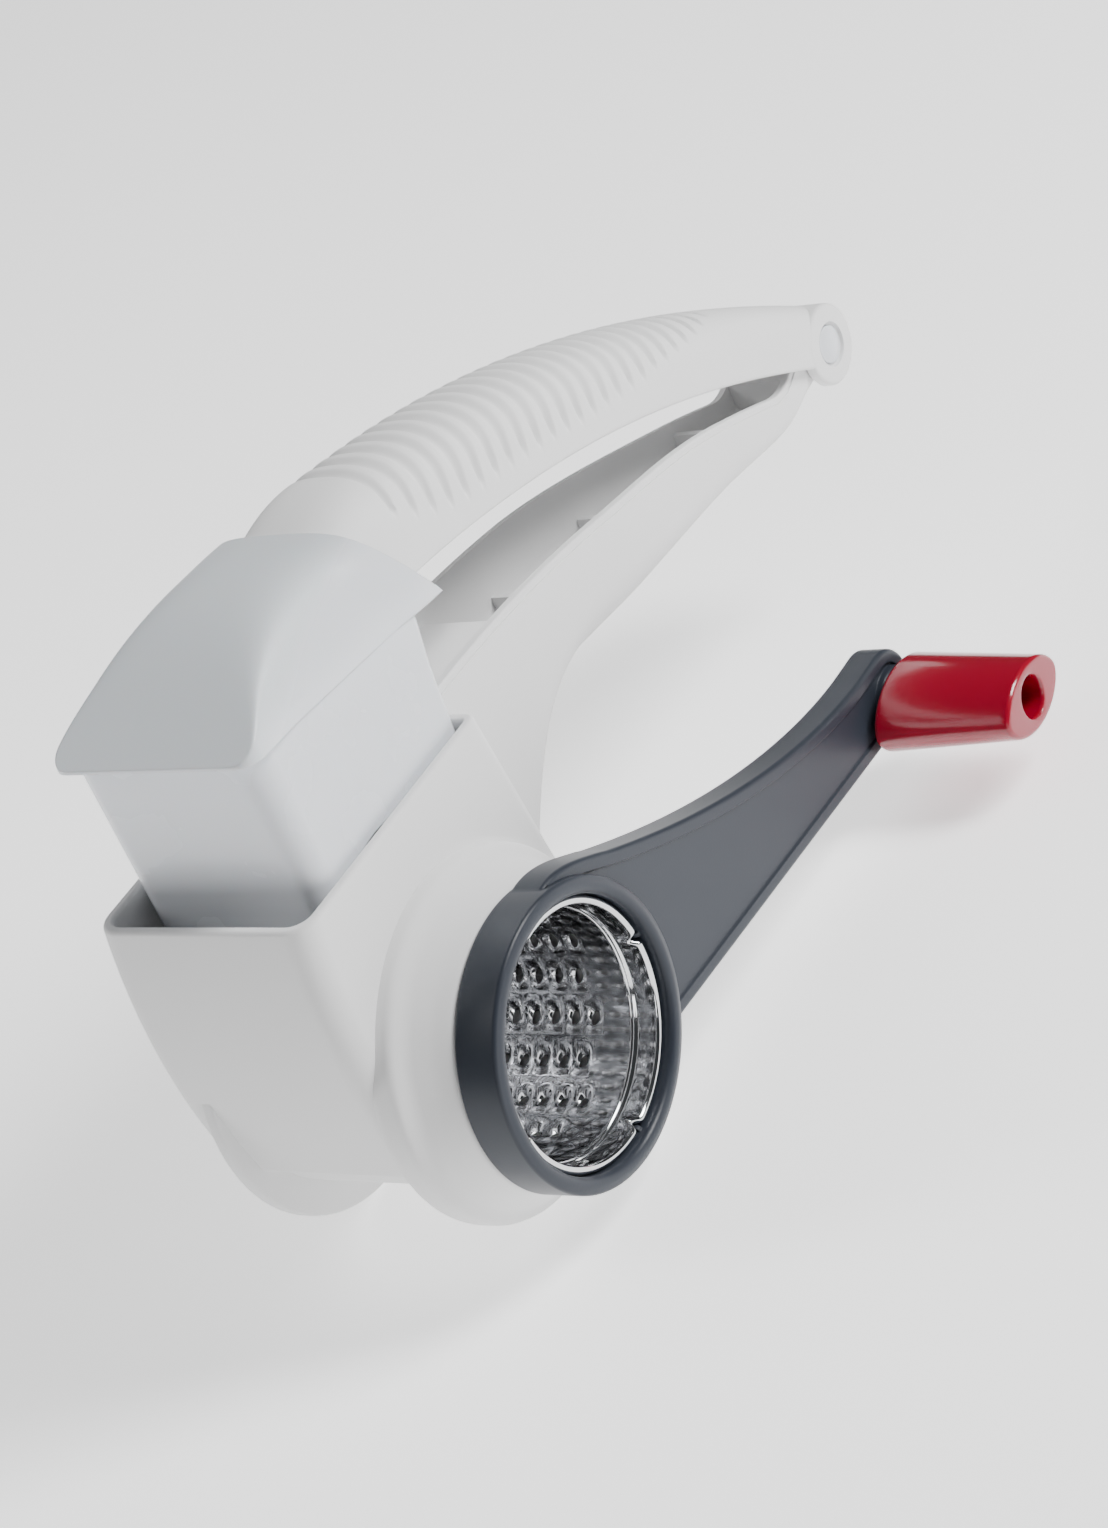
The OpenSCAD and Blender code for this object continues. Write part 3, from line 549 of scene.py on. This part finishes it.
press = hood_skin("press_hood", 0, HOOD_EDGE_Z)
combine(press, pusher_skin("pusher_block", 0, 8, HOOD_EDGE_Z + 0.5), "UNION")
combine(press, drum_clearance(PRESS_R), "DIFFERENCE")
hood_hollow = hood_skin("hood_hollow", 3.3, HOOD_EDGE_Z - 2.5, overrun=5)
combine(press, hood_hollow, "DIFFERENCE")
hollow = pusher_skin("pusher_hollow", WALL, 8 + WALL, HOOD_EDGE_Z + 1)
combine(hollow, drum_clearance(PRESS_R + WALL), "DIFFERENCE")
combine(press, hollow, "DIFFERENCE")
lever_cut = lever_skin("lever_cut", np.linspace(LEVER_Y0 + 0.5, 60, 40), 0, 2)
combine(press, lever_cut, "DIFFERENCE")
smooth(press, 38)

pearl, tree = new_tree("pearl_plastic")
place = tree.make("ShaderNodeTexCoord", out="Object")
apart, along, height = (tree.make("ShaderNodeSeparateXYZ", {}, {0: place}, axis) for axis in "XYZ")
side = tree.maths("ABSOLUTE", apart - MID_X * MM)
# 1 on the satin top, 0 on the glossy sides: the line between them runs in from the front corners
reach = 0.0212 - 0.17 * (along + 0.0165)
satin = tree.make("ShaderNodeMapRange", {"interpolation_type": "SMOOTHSTEP"}, {
    0: reach - side, 1: -0.0006, 2: 0.0006, 3: 0.0, 4: 1.0})
above = tree.make("ShaderNodeMapRange", {}, {
    0: height + along * 0.115, 1: 0.0682, 2: 0.0684, 3: 0.0, 4: 1.0})
satin = satin * above
grain = tree.make("ShaderNodeTexNoise", {}, {"Vector": place, "Scale": 1900.0, "Detail": 3.0}, "Fac")
cloud = tree.make("ShaderNodeTexNoise", {}, {"Vector": place, "Scale": 60.0, "Detail": 3.0}, "Fac")
tint = tree.make("ShaderNodeMix", {"data_type": "RGBA"}, {
    0: satin, 6: (0.72, 0.745, 0.785, 1), 7: (0.66, 0.70, 0.73, 1)}, 2)
edge = tree.make("ShaderNodeBevel", {"samples": 4}, {"Radius": 0.0004})
bump = tree.make("ShaderNodeBump", {}, {
    "Height": grain * satin, "Distance": 0.00003, "Strength": 0.5, "Normal": edge})
finish_tree(tree, tree.make("ShaderNodeBsdfPrincipled", {}, {
    "Base Color": tint, "Roughness": satin * 0.17 + 0.24 + cloud * 0.06,
    "Coat Weight": 0.3 - satin * 0.22, "Coat Roughness": 0.08, "Normal": bump,
    "Subsurface Weight": 0.08, "Subsurface Scale": 0.002}))
press.data.materials.clear()
press.data.materials.append(pearl)
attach(press, "lever")
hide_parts("hood", "pusher")

# ---- crank ------------------------------------------------------------------------------------
# Dark grey moulding: a ring that snaps over the housing's collar and holds the drum by four
# lugs, and a flat arm with a raised border that sweeps down to the knob's seat.

ARM_Y, ARM_Z = 111.3, -16.0
ARM_X0, ARM_X1 = 56.2, 62.8
ARM_END_W = 15.0
BEAD_R, BEAD_RING_R, BEAD_X = 0.9, 21.9, 61.9
LUGS, LUG_TURN = 4, math.radians(6.5)
LUG_STEP = 2 * math.pi / LUGS


def arm_outline(steps=90):
    """Side outline of the arm as (y, z): top edge a 1.7-power curve that a cubic carries on to
    touch the ring, bottom edge straight, and a half circle round the knob's axis."""
    low_z, top_z = ARM_Z - ARM_END_W * 0.32 + 0.6, ARM_Z + ARM_END_W * 0.68
    y = np.linspace(5, ARM_Y, steps)
    top = top_z + 22.6 * (np.maximum(ARM_Y - 6 - y, 0) / 77) ** 1.7
    t = np.clip((24 - y) / 19, 0, 1)
    touch = (19.1 * (1 + 2 * t) * (1 - t) ** 2 + 9.9 * t * (1 - t) ** 2
             + 25.3 * t * t * (3 - 2 * t) - 3.8 * t * t * (t - 1))
    top = np.where(y < 24, touch, top)
    turn = np.linspace(np.pi / 2, -np.pi / 2, 40)[1:-1]
    radius, centre = (top_z - low_z) / 2, (top_z + low_z) / 2
    low = np.linspace(low_z, low_z + 5.5, 40)
    return np.concatenate([np.stack([y, top], 1),
                           np.stack([ARM_Y + radius * np.cos(turn), centre + radius * np.sin(turn)], 1),
                           np.stack([np.linspace(ARM_Y, 5, 40), low], 1)])


def drawn_in(outline, distance):
    """Closed outline moved inwards by distance along its normals."""
    ahead = np.roll(outline, -1, 0) - np.roll(outline, 1, 0)
    normal = np.stack([ahead[:, 1], -ahead[:, 0]], 1) / np.linalg.norm(ahead, axis=1)[:, None]
    return outline + normal * distance


outline = arm_outline()
quarter = np.linspace(0, np.pi / 2, 6)
edge_r, border, recess = 0.9, 1.5, 0.45
depths = np.concatenate([edge_r * (1 - np.sin(quarter)), edge_r * (1 - np.sin(quarter[::-1])),
                         [edge_r + border, edge_r + border + 0.25]])
xs = np.concatenate([ARM_X0 + edge_r * (1 - np.cos(quarter)), ARM_X1 - edge_r * (1 - np.cos(quarter[::-1])),
                     [ARM_X1, ARM_X1 - recess]])
rings = np.stack([drawn_in(outline, d) for d in depths])
crank = skin("crank_arm", xs[:, None], rings[..., 0], rings[..., 1])
pad = eased([(ARM_X1 - 2, 0.5), (ARM_X1 - 2, 7.0), (ARM_X1 + 1, 6.6), (ARM_X1 + 1, 0.5)], 0.5)
combine(crank, turned("knob_pad", pad, (ARM_Y, ARM_Z), 64), "UNION")
ring = eased([(RING_X0, 24.0), (RING_X0, RING_R), (RING_X1 - 0.5, RING_R), (RING_X1, RING_R - 1.6),
              (RING_X1 - 0.25, RING_R - 2.6), (RING_X1 - 0.9, 22.95), (RING_X1 - 1.6, 22.92),
              (RING_X1 - 4.0, 22.92), (RING_X1 - 4.0, 24.0)], 0.55, closed=True, steps=6)
combine(crank, turned("throat", [(ARM_X0 - 2, 24.2), (RING_X1 + 2, 24.2)], steps=160), "DIFFERENCE")
combine(crank, turned("crank_ring", ring, steps=200, loop=True), "UNION")
combine(crank, turned("collar_room", [(RING_X0 - 1, 24.55), (60.4, 24.55)], steps=160), "DIFFERENCE")
combine(crank, turned("seat_floor", [(60.4, 22.3), (60.4, 25.0), (60.9, 25.0), (60.9, 22.3)],
                      steps=160, loop=True), "UNION")
combine(crank, turned("screw_way", [(ARM_X0 - 1, 1.7), (ARM_X1 + 3, 1.7)], (ARM_Y, ARM_Z), 48), "DIFFERENCE")
for k in range(LUGS):
    turn = LUG_TURN + k * LUG_STEP
    half = np.array([-0.5, -0.25, 0.25, 0.5])
    lug = np.array([(60.6, 23.3), (60.8, 22.4), (61.6, 22.1), (62.2, 22.4), (62.5, 23.3)])
    bank = turn + half[:, None] / 22 * np.array([1, 0.8, 0.7, 0.8, 1])[None]
    combine(crank, skin("lug", lug[None, :, 0] + 0 * bank, lug[None, :, 1] * np.cos(bank),
                        lug[None, :, 1] * np.sin(bank)), "UNION")
smooth(crank, 34)
crank.data.materials.clear()
crank.data.materials.append(slate_plastic)
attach(crank, "crank")
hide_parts("crank")

# ---- knob screw -------------------------------------------------------------------------------
# Turned steel with a shoulder: it is screwed through the arm's end, and the knob turns on it.
# It keeps its CAD shape.


def sheet_steel(name, roughness, streak):
    """Polished stainless: rolling streaks wander in the roughness and in a faint bump."""
    material, tree = new_tree(name)
    place = tree.make("ShaderNodeTexCoord", out="Object")
    rolled = tree.make("ShaderNodeMapping", {}, {"Vector": place, "Scale": (1.0, 7.0, 7.0)})
    streaks = tree.make("ShaderNodeTexNoise", {}, {"Vector": rolled, "Scale": 160.0, "Detail": 2.0}, "Fac")
    waves = tree.make("ShaderNodeTexNoise", {}, {"Vector": place, "Scale": 90.0, "Detail": 0.0}, "Fac")
    bump = tree.make("ShaderNodeBump", {}, {"Height": waves, "Distance": 0.00002, "Strength": 0.25})
    finish_tree(tree, tree.make("ShaderNodeBsdfPrincipled", {}, {
        "Base Color": (0.72, 0.725, 0.74, 1), "Metallic": 1.0,
        "Roughness": streaks * streak + roughness, "Normal": bump}))
    return material


screw_steel = sheet_steel("screw_steel", 0.2, 0.12)
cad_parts["knob_screw"].data.materials[0] = screw_steel

# ---- knob -------------------------------------------------------------------------------------
# Deep red translucent plastic: an oval, slightly keeled and tapered sleeve that turns freely on
# a shouldered steel screw, with an open round bore at its outer end.

KNOB_X0, KNOB_LEN = ARM_X1 + 1.2, 27.0
KNOB_A, KNOB_B, KNOB_TAPER = 12.3, 7.2, 0.84
turn = np.linspace(0, 2 * np.pi, 128, endpoint=False)
c, s = np.cos(turn), np.sin(turn)
keel_z = np.sign(s) * np.abs(s) ** 1.16
quarter = np.linspace(0, np.pi / 2, 7)
round_r = 0.9
x = np.concatenate([round_r * (1 - np.cos(quarter)), np.linspace(round_r, KNOB_LEN - round_r, 24)[1:-1],
                    KNOB_LEN - round_r * (1 - np.sin(quarter))])
shrink = np.concatenate([round_r * (1 - np.sin(quarter)), np.zeros(22), round_r * (1 - np.cos(quarter))])
scale = 1 - (1 - KNOB_TAPER) * x / KNOB_LEN
ring_y = (KNOB_A * scale - shrink)[:, None] * c
ring_z = (KNOB_B * scale - shrink)[:, None] * keel_z
bore_x = np.array([KNOB_LEN, KNOB_LEN - 0.15, KNOB_LEN - 0.5, KNOB_LEN - 1, 9.2, 9.0, 9.0, 8.6, 0.3, 0.0])
bore_r = np.array([4.5, 4.1, 3.85, 3.8, 3.8, 3.6, 2.55, 2.45, 2.45, 2.8])
x = np.concatenate([x, bore_x])
ring_y = np.concatenate([ring_y, bore_r[:, None] * c])
ring_z = np.concatenate([ring_z, bore_r[:, None] * s])
knob = skin("knob_sleeve", KNOB_X0 + x[:, None], ARM_Y + ring_y, ARM_Z + ring_z, loop=True)
smooth(knob, 30)
red_plastic = moulding("red_plastic", (0.30, 0.003, 0.020), 0.16, 0.5, 0.05, 0.2, 0.15)
knob.data.materials.append(red_plastic)
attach(knob, "knob")
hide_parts("knob")

# ---- drum -------------------------------------------------------------------------------------
# Stainless sheet tube. Rows of pressed-out teardrop teeth, each open at its lower end, are
# staggered by half a pitch. Beyond a small step its mouth flares to a rolled rim with notches,
# and its other end is closed by a disc with a steel stub axle, which keep their CAD shape.

SHELL_X0, STEP_X = 9.3, 57.7
HOLE_PITCH, ROWS, PER_ROW = 4.15, 18, 9
FIRST_ROW = math.radians(6.3)
SHEET_R = DRUM_R - 0.3
ROW_ARC = SHEET_R * 2 * math.pi / ROWS
CELL_LOW = -2.94
CELL_HIGH = CELL_LOW + ROW_ARC
GAUGE = 0.00055


def tooth_height(a, b):
    """How far the sheet is pressed out at a across and b along the tooth, from its hole's middle:
    a cosine square across, a smooth ramp from the tail, and a drop behind the hole."""
    window = np.cos(np.pi * np.clip(np.abs(a) / HOLE_PITCH, 0, 0.5)) ** 2
    ramp = ease((3.5 - b) / 3.1) * np.where(b > 0, 1, np.exp(-(b / 0.62) ** 2))
    lip = -0.28 * np.exp(-((b + 1.5) / 0.55) ** 2)
    rim = -0.10 * np.exp(-((np.hypot(a / 1.55, (b - 0.9) / 2.6) - 1) / 0.16) ** 2)
    keep = ease((b - CELL_LOW) / 0.5) * ease((CELL_HIGH - b) / 0.5)
    return (1.05 * ramp * window ** 1.3 + (lip + rim) * window) * keep


def drum_points(x, angle, out):
    """Points on the sheet's middle cylinder, moved out by the given height."""
    radius = SHEET_R + out
    return np.stack([x + 0 * out, radius * np.cos(angle), radius * np.sin(angle)], -1) * MM


side_n, depth_n = 6, 8
edge = np.linspace(-1, 1, side_n + 1)[:-1]
square_a = np.concatenate([edge, np.ones(side_n), -edge, -np.ones(side_n)])
square_b = np.concatenate([-np.ones(side_n), edge, np.ones(side_n), -edge])
cell_a = square_a * HOLE_PITCH / 2
cell_b = CELL_LOW + (square_b + 1) / 2 * ROW_ARC
angle_of = np.arctan2(cell_b, cell_a * 1.15)
hole_a, hole_b = 0.95 * np.cos(angle_of), 1.2 * np.sin(angle_of)
share = (np.linspace(0, 1, depth_n + 1) ** 1.25)[:, None]
a = hole_a + (cell_a - hole_a) * share
b = hole_b + (cell_b - hole_b) * share
height = tooth_height(a, b)
row, col = np.meshgrid(np.arange(ROWS), np.arange(PER_ROW), indexing="ij")
first_x = STEP_X - 7.9 - (PER_ROW - 0.5) * HOLE_PITCH
hole_x = first_x + (col + np.where(row % 2 == 0, 0.5, 0)) * HOLE_PITCH
hole_turn = FIRST_ROW + row * 2 * np.pi / ROWS
x = hole_x[..., None, None] + a
angle = hole_turn[..., None, None] + b / SHEET_R
points = drum_points(x, angle, height + 0 * x).reshape(-1, 3)
size = 4 * side_n
i, j, k = np.meshgrid(np.arange(ROWS * PER_ROW), np.arange(depth_n), np.arange(size), indexing="ij")
base = i * size * (depth_n + 1)
inner, outer, nxt = base + j * size, base + (j + 1) * size, (k + 1) % size
faces = np.stack([inner + k, outer + k, outer + nxt, inner + nxt], -1).reshape(-1, 4)
# Plain sheet: half cells that square off the staggered rows, and a band at each end
plain_b = CELL_LOW + np.linspace(0, 1, side_n + 1) * ROW_ARC
for r in range(ROWS):
    turn = FIRST_ROW + r * 2 * np.pi / ROWS + plain_b / SHEET_R
    last = first_x + PER_ROW * HOLE_PITCH
    half_cell = (first_x - HOLE_PITCH / 2, first_x) if r % 2 == 0 else (last - HOLE_PITCH / 2, last)
    fills = [(SHELL_X0, first_x - HOLE_PITCH / 2, 4), (*half_cell, 3), (last, STEP_X, 8)]
    for x0, x1, n in fills:
        gx, gt = np.meshgrid(np.linspace(x0, x1, n + 1), turn, indexing="ij")
        grid = drum_points(gx, gt, 0 * gx).reshape(-1, 3)
        gi, gj = np.meshgrid(np.arange(n), np.arange(side_n), indexing="ij")
        w = side_n + 1
        start = len(points)
        faces = np.concatenate([faces, start + np.stack(
            [gi * w + gj, (gi + 1) * w + gj, (gi + 1) * w + gj + 1, gi * w + gj + 1], -1).reshape(-1, 4)])
        points = np.concatenate([points, grid])
mesh = bpy.data.meshes.new("drum_sleeve")
mesh.from_pydata(points.tolist(), [], faces.tolist())
drum = bpy.data.objects.new("drum_sleeve", mesh)
bpy.context.scene.collection.objects.link(drum)
weld = drum.modifiers.new("weld", "WELD")
weld.merge_threshold = 0.00001
gauge = drum.modifiers.new("gauge", "SOLIDIFY")
gauge.thickness, gauge.offset = GAUGE, 0.0
drum.data.shade_smooth()
steel_sheet = sheet_steel("steel_sheet", 0.05, 0.06)
drum.data.materials.append(steel_sheet)
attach(drum, "drum")
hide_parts("drum_shell")
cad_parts["drum_end_disc"].data.materials[0] = steel_sheet
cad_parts["drum_stub"].data.materials[0] = screw_steel

# Rim: a thin flared band that starts at the step and curls into the rolled bead
curl = np.linspace(-np.pi / 2, np.pi * 0.95, 22)
band = eased([(STEP_X - 0.6, 20.75), (STEP_X + 0.1, 20.75), (STEP_X + 0.8, 21.25), (BEAD_X - 1.2, 21.1),
              (BEAD_X, BEAD_RING_R - BEAD_R + 0.15)], 0.35)
profile = np.concatenate([band, np.stack([BEAD_X + (BEAD_R - 0.15) * np.cos(curl[1:]),
                                          BEAD_RING_R + (BEAD_R - 0.15) * np.sin(curl[1:])], 1)])
back = np.concatenate([np.stack([BEAD_X + (BEAD_R - 0.5) * np.cos(curl[::-1]),
                                 BEAD_RING_R + (BEAD_R - 0.5) * np.sin(curl[::-1])], 1),
                       band[::-1] + (0, 0.4)])
profile = np.concatenate([profile, back])
turn = np.linspace(0, 2 * np.pi, 720, endpoint=False)
off = (turn - LUG_TURN + LUG_STEP / 2) % LUG_STEP - LUG_STEP / 2
pinch = np.exp(-(off * 22 / 0.8) ** 2) * ease((profile[:, :1] - BEAD_X + 3.5) / 2.6)
x = profile[:, :1] - 1.3 * pinch
radius = profile[:, 1:] - 0.6 * pinch
rim = skin("drum_rim_bead", x, radius * np.cos(turn), radius * np.sin(turn), loop=True)
smooth(rim, 50)
rim.data.materials.append(steel_sheet)
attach(rim, "drum")
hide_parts("drum_rim")

# ---- floor, light and camera ------------------------------------------------------------------
# A pale matt floor just under the lobes, a strong soft light high behind on the crank's side, a
# weaker one on the other side, a faint one low in front, and a camera above the front right.

FLOOR_Z = cad_box[0][2] - 0.0005
mesh = bpy.data.meshes.new("floor")
corners = [(x, y, FLOOR_Z) for x, y in ((-20, -20), (20, -20), (20, 20), (-20, 20))]
mesh.from_pydata(corners, [], [(0, 1, 2, 3)])
floor = bpy.data.objects.new("floor", mesh)
bpy.context.scene.collection.objects.link(floor)
pale, tree = new_tree("pale_floor")
finish_tree(tree, tree.make("ShaderNodeBsdfPrincipled", {}, {
    "Base Color": (0.94, 0.94, 0.94, 1), "Roughness": 0.7, "Specular IOR Level": 0.2,
    "Emission Color": (1, 1, 1, 1), "Emission Strength": 1.0}))
floor.data.materials.append(pale)


def soft_light(name, place, target, width, height, power, colour=(1, 1, 1)):
    """Rectangular area light at place, facing target."""
    lamp = bpy.data.lights.new(name, "AREA")
    lamp.shape, lamp.size, lamp.size_y, lamp.energy, lamp.color = "RECTANGLE", width, height, power, colour
    light = bpy.data.objects.new(name, lamp)
    place, target = np.array(place), np.array(target)
    back = (place - target) / np.linalg.norm(place - target)
    right = np.cross((0, 0, 1), back) / np.linalg.norm(np.cross((0, 0, 1), back))
    up = np.cross(back, right)
    turned_to = np.stack([right, up, back], 1)
    light.matrix_world = Matrix([[*row, p] for row, p in zip(turned_to, place)] + [[0, 0, 0, 1]])
    bpy.context.scene.collection.objects.link(light)


middle = (0.03, 0.06, 0.02)
soft_light("right_box", (0.75, 0.45, 0.75), middle, 0.32, 0.5, 18)
soft_light("left_box", (-0.75, -0.35, 0.6), middle, 0.3, 0.5, 4.5)
soft_light("front_box", (0.5, -0.9, 0.25), middle, 0.2, 0.3, 0.8)
world = bpy.data.worlds.new("studio")
world.use_nodes = True
world.node_tree.nodes["Background"].inputs[0].default_value = (0.93, 0.96, 1.0, 1)
world.node_tree.nodes["Background"].inputs[1].default_value = 0.05
bpy.context.scene.world = world

camera = bpy.data.cameras.new("camera")
camera.lens, camera.sensor_width, camera.clip_end = 98.95, 36, 20
eye = bpy.data.objects.new("camera", camera)
right, down, ahead = ((0.8057, 0.4588, -0.3746), (-0.0219, -0.6089, -0.7929), (-0.5919, 0.6471, -0.4806))
spot = (0.46183, -0.41519, 0.36307)
eye.matrix_world = Matrix([[right[n], -down[n], -ahead[n], spot[n]] for n in range(3)] + [[0, 0, 0, 1]])
bpy.context.scene.collection.objects.link(eye)
bpy.context.scene.camera = eye
